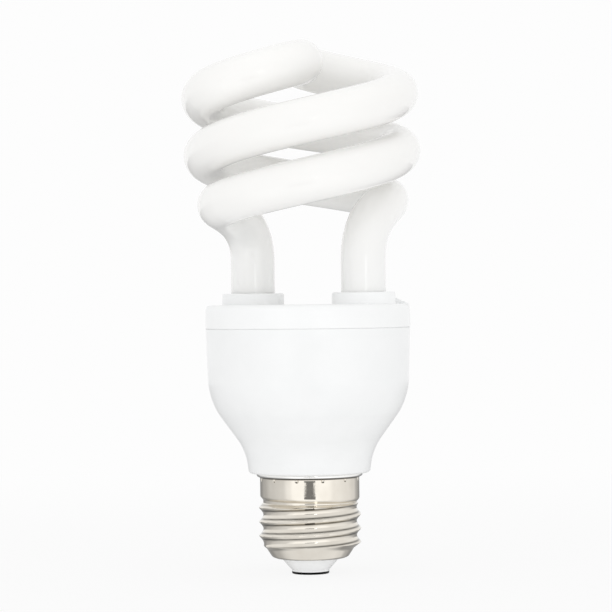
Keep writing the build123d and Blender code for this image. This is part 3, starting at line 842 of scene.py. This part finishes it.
ferrite = surface(
    "ferrite",
    dark=(0.016, 0.016, 0.018),
    light=(0.030, 0.030, 0.033),
    patch=0.7,
    rough=0.75,
    smooth=0.55,
    grain=0.12,
    grain_depth=0.02,
)
dress(["choke_core", "drive_toroid", "inductor_core"], ferrite)

bobbin_moulding = surface(
    "bobbin_moulding",
    dark=(0.022, 0.021, 0.021),
    light=(0.034, 0.032, 0.032),
    patch=2.0,
    rough=0.6,
    smooth=0.5,
    grain=0.2,
    grain_depth=0.01,
)
dress(["choke_bobbin"], bobbin_moulding)

enamelled_copper = surface(
    "enamelled_copper",
    dark=(0.42, 0.15, 0.05),
    light=(0.58, 0.24, 0.09),
    patch=0.5,
    rough=0.34,
    smooth=0.24,
    grain=0.25,
    grain_depth=0.03,
)
dress(["choke_winding", "toroid_windings", "inductor_winding"], metal(enamelled_copper))

black_resin = surface(
    "black_resin",
    dark=(0.008, 0.008, 0.009),
    light=(0.016, 0.016, 0.018),
    patch=1.5,
    rough=0.6,
    smooth=0.45,
    grain=0.15,
    grain_depth=0.012,
)
dress(["power_transistors", "rectifier_diodes"], black_resin)

dipped_film = surface(
    "dipped_film",
    dark=(0.20, 0.018, 0.010),
    light=(0.29, 0.032, 0.018),
    patch=2.5,
    rough=0.3,
    smooth=0.2,
    grain=0.4,
    grain_depth=0.01,
)
dress(["resonant_capacitor", "coupling_capacitors"], dipped_film)

trigger_lacquer = surface(
    "trigger_lacquer",
    dark=(0.05, 0.10, 0.22),
    light=(0.08, 0.15, 0.30),
    patch=1.0,
    rough=0.25,
    smooth=0.15,
    grain=0.2,
    grain_depth=0.004,
)
dress(["trigger_diode"], trigger_lacquer)

resistor_lacquer = surface(
    "resistor_lacquer",
    dark=(0.21, 0.30, 0.26),
    light=(0.30, 0.38, 0.33),
    patch=1.0,
    rough=0.4,
    smooth=0.3,
    grain=0.2,
    grain_depth=0.01,
)
dress(["resistors", "fuse_resistor"], resistor_lacquer)


# Floor and ground
# A matt white floor that runs into an even white ground, with the lamp's soft shadow on it. Gloss
# doesn't meet the floor, because the bowl further on stands in for it there. Lengths from here on
# are in metres.
ground_white = 0.982
ground_light = 0.835
floor_size = 6.0
floor_tone = 0.9
floor_rough = 0.8
floor_lit = 0.5
floor_shadow = 0.15
shadow_reach = 0.06
shadow_end = 0.40


def worked_out(tree, operation, first, second):
    """The result of an operation on two values."""
    working = tree.nodes.new("ShaderNodeMath")
    working.operation = operation
    for socket, value in zip(working.inputs, (first, second)):
        feed(tree, socket, value)
    return working.outputs["Value"]


def bare_ray_share(tree):
    """A value that is 1 for rays that should meet the plain white ground, and 0 for the rest."""
    path = tree.nodes.new("ShaderNodeLightPath").outputs
    seen = worked_out(tree, "MAXIMUM", path["Is Camera Ray"], path["Is Glossy Ray"])
    return worked_out(tree, "MAXIMUM", seen, path["Is Transmission Ray"])


floor_form = bmesh.new()
bmesh.ops.create_grid(floor_form, x_segments=1, y_segments=1, size=floor_size / 2)
floor = loose_object("floor", floor_form)
floor.visible_glossy = False
floor_paint = bpy.data.materials.new("floor_paint")
floor_paint.use_nodes = True
floor_tree = floor_paint.node_tree
floor_shader = floor_tree.nodes["Principled BSDF"]
floor_shader.inputs["Base Color"].default_value = (floor_tone, floor_tone, floor_tone, 1)
floor_shader.inputs["Roughness"].default_value = floor_rough
floor_glow = floor_tree.nodes.new("ShaderNodeEmission")
floor_glow.inputs["Strength"].default_value = ground_white
floor_place = floor_tree.nodes.new("ShaderNodeTexCoord")
floor_distance = floor_tree.nodes.new("ShaderNodeVectorMath")
floor_distance.operation = "LENGTH"
floor_tree.links.new(floor_place.outputs["Object"], floor_distance.inputs[0])
floor_fade = scaled(
    floor_tree,
    floor_distance.outputs["Value"],
    (shadow_reach, shadow_end),
    (1 - floor_shadow, 1),
    eased=True,
)
floor_least = worked_out(floor_tree, "MAXIMUM", bare_ray_share(floor_tree), floor_lit)
floor_share = worked_out(floor_tree, "MULTIPLY", floor_least, floor_fade)
floor_mix = floor_tree.nodes.new("ShaderNodeMixShader")
floor_end = floor_tree.nodes["Material Output"]
floor_tree.links.new(floor_share, floor_mix.inputs["Fac"])
floor_tree.links.new(floor_shader.outputs["BSDF"], floor_mix.inputs[1])
floor_tree.links.new(floor_glow.outputs["Emission"], floor_mix.inputs[2])
floor_tree.links.new(floor_mix.outputs["Shader"], floor_end.inputs["Surface"])
floor.data.materials.append(floor_paint)

world = bpy.data.worlds.new("white_ground")
world.use_nodes = True
bpy.context.scene.world = world
world_tree = world.node_tree
ground = world_tree.nodes["Background"]
ground.inputs["Color"].default_value = (1, 1, 1, 1)
ground_tones = (ground_light, ground_white)
ground_strength = scaled(world_tree, bare_ray_share(world_tree), (0, 1), ground_tones)
world_tree.links.new(ground_strength, ground.inputs["Strength"])


# Soft boxes
# Two lamps behind diffusing cloth on stands beside the camera, and one above the bulb. They turn
# to the middle of the bulb, and gloss doesn't show them.
box_target = Vector((0, 0, 0.08))
side_box_away = 0.58
side_box_front = 0.92
side_box_height = 0.20
side_box_size = (0.62, 0.60)
side_box_power = 1.2
top_box_front = 0.15
top_box_height = 1.10
top_box_size = (1.00, 1.00)
top_box_power = 1.15


def soft_box(name, place, size, power):
    """A rectangular lamp that faces the middle of the bulb."""
    lamp = bpy.data.lights.new(name, "AREA")
    lamp.shape = "RECTANGLE"
    lamp.size, lamp.size_y = size
    lamp.energy = power
    stand = bpy.data.objects.new(name, lamp)
    stand.location = place
    stand.rotation_euler = (Vector(place) - box_target).to_track_quat("Z", "Y").to_euler()
    stand.visible_glossy = False
    bpy.context.scene.collection.objects.link(stand)


left_place = (-side_box_away, -side_box_front, side_box_height)
right_place = (side_box_away, -side_box_front, side_box_height)
top_place = (0, -top_box_front, top_box_height)
soft_box("left_box", left_place, side_box_size, side_box_power)
soft_box("right_box", right_place, side_box_size, side_box_power)
soft_box("top_box", top_place, top_box_size, top_box_power)


# Bowl and cards
# What the nickel and the glass mirror: a bowl of graded tone under and round the bulb, a dark
# card in the camera's place and a small bright one beside it. Only gloss meets them, and they
# light nothing.
bowl_radius = 0.8
bowl_rim = -0.004
bowl_columns = 96
bowl_rows = 48
bowl_tones = [
    (-180, 0.43),
    (-152, 0.33),
    (-130, 0.52),
    (-100, 0.72),
    (-66, 0.83),
    (-50, 1.09),
    (-38, 1.30),
    (-12, 1.30),
    (0, 1.22),
    (12, 1.30),
    (42, 1.30),
    (58, 1.14),
    (95, 1.02),
    (122, 0.86),
    (138, 0.52),
    (156, 0.33),
    (180, 0.43),
]
bowl_foot_tone = 0.94
bowl_foot_start = 0.66
bowl_foot_full = 0.93
card_distance = 0.66
card_tone = 0.24
card_half = [(0.085, -0.005), (0.090, -0.0205), (0.150, -0.0290), (0.150, -0.155)]
glint_azimuth = 13
glint_distance = 1.0
glint_width = 0.12
glint_bottom = 0.07
glint_top = 0.20
glint_tone = 3.4


def reflected_only(card):
    """Makes a card one that shows in gloss and nowhere else."""
    card.visible_camera = False
    card.visible_diffuse = False
    card.visible_transmission = False
    card.visible_shadow = False


def glowing(card, name):
    """Gives a card a glow that lights nothing, and returns its node tree and colour socket."""
    glow = bpy.data.materials.new(name)
    glow.use_nodes = True
    glow.cycles.emission_sampling = "NONE"
    tree = glow.node_tree
    light = tree.nodes.new("ShaderNodeEmission")
    tree.links.new(light.outputs["Emission"], tree.nodes["Material Output"].inputs["Surface"])
    card.data.materials.append(glow)
    return tree, light.inputs["Color"]


def flat_card(name, corners, glow_name, tone):
    """A flat card of one even tone."""
    form = bmesh.new()
    form.faces.new([form.verts.new(corner) for corner in corners])
    card = loose_object(name, form)
    reflected_only(card)
    tree, colour = glowing(card, glow_name)
    feed(tree, colour, (tone, tone, tone))


bowl_form = bmesh.new()
bmesh.ops.create_uvsphere(
    bowl_form, u_segments=bowl_columns, v_segments=bowl_rows, radius=bowl_radius
)
bmesh.ops.bisect_plane(
    bowl_form,
    geom=bowl_form.verts[:] + bowl_form.edges[:] + bowl_form.faces[:],
    plane_co=(0, 0, bowl_rim),
    plane_no=(0, 0, 1),
    clear_outer=True,
)
bowl = loose_object("bowl", bowl_form)
reflected_only(bowl)
bowl_tree, bowl_colour = glowing(bowl, "bowl_glow")
bowl_axes = object_axes(bowl_tree)
to_camera = worked_out(bowl_tree, "MULTIPLY", bowl_axes["Y"], -1)
bowl_azimuth = worked_out(bowl_tree, "ARCTAN2", bowl_axes["X"], to_camera)
bowl_ramp = bowl_tree.nodes.new("ShaderNodeValToRGB")
bowl_ramp.color_ramp.interpolation = "EASE"
stops = bowl_ramp.color_ramp.elements
stops.remove(stops[1])
for number, (azimuth, tone) in enumerate(bowl_tones):
    stop = stops[0] if number == 0 else stops.new(1)
    stop.position = (azimuth + half_turn) / (2 * half_turn)
    stop.color = (tone, tone, tone, 1)
bowl_tree.links.new(scaled(bowl_tree, bowl_azimuth, (-pi, pi)), bowl_ramp.inputs["Fac"])
foot_reach = (-bowl_foot_start * bowl_radius, -bowl_foot_full * bowl_radius)
foot_share = scaled(bowl_tree, bowl_axes["Z"], foot_reach, eased=True)
foot_colour = (bowl_foot_tone, bowl_foot_tone, bowl_foot_tone)
bowl_tone = mixed_colour(bowl_tree, foot_share, bowl_ramp.outputs["Color"], foot_colour)
feed(bowl_tree, bowl_colour, bowl_tone)

card_outline = card_half + [(-side, height) for side, height in reversed(card_half)]
card_corners = [(side, -card_distance, height) for side, height in card_outline]
flat_card("camera_card", card_corners, "camera_shade", card_tone)

glint_turn = radians(glint_azimuth)
glint_middle = Vector((sin(glint_turn), -cos(glint_turn), 0)) * glint_distance
glint_side = Vector((cos(glint_turn), sin(glint_turn), 0)) * glint_width / 2
glint_low, glint_high = Vector((0, 0, glint_bottom)), Vector((0, 0, glint_top))
glint_corners = [
    glint_middle - glint_side + glint_low,
    glint_middle + glint_side + glint_low,
    glint_middle + glint_side + glint_high,
    glint_middle - glint_side + glint_high,
]
flat_card("glint_card", glint_corners, "glint", glint_tone)


# Camera
# A level camera with a long lens, in front of the bulb at the height of the cover's plate. It is
# rolled by a fraction of a degree, as the photograph is.
camera_distance = 0.650
camera_height = 0.0689
camera_side = -0.00044
camera_roll = 0.65
camera_lens = 148.2
film_width = 36
camera = bpy.data.objects.new("camera", bpy.data.cameras.new("camera"))
camera.data.lens = camera_lens
camera.data.sensor_width = film_width
camera.matrix_world = (
    Matrix.Translation((camera_side, -camera_distance, camera_height))
    @ Matrix.Rotation(radians(quarter_turn), 4, "X")
    @ Matrix.Rotation(radians(-camera_roll), 4, "Z")
)
bpy.context.scene.collection.objects.link(camera)
bpy.context.scene.camera = camera
bpy.context.scene.view_settings.view_transform = "Standard"
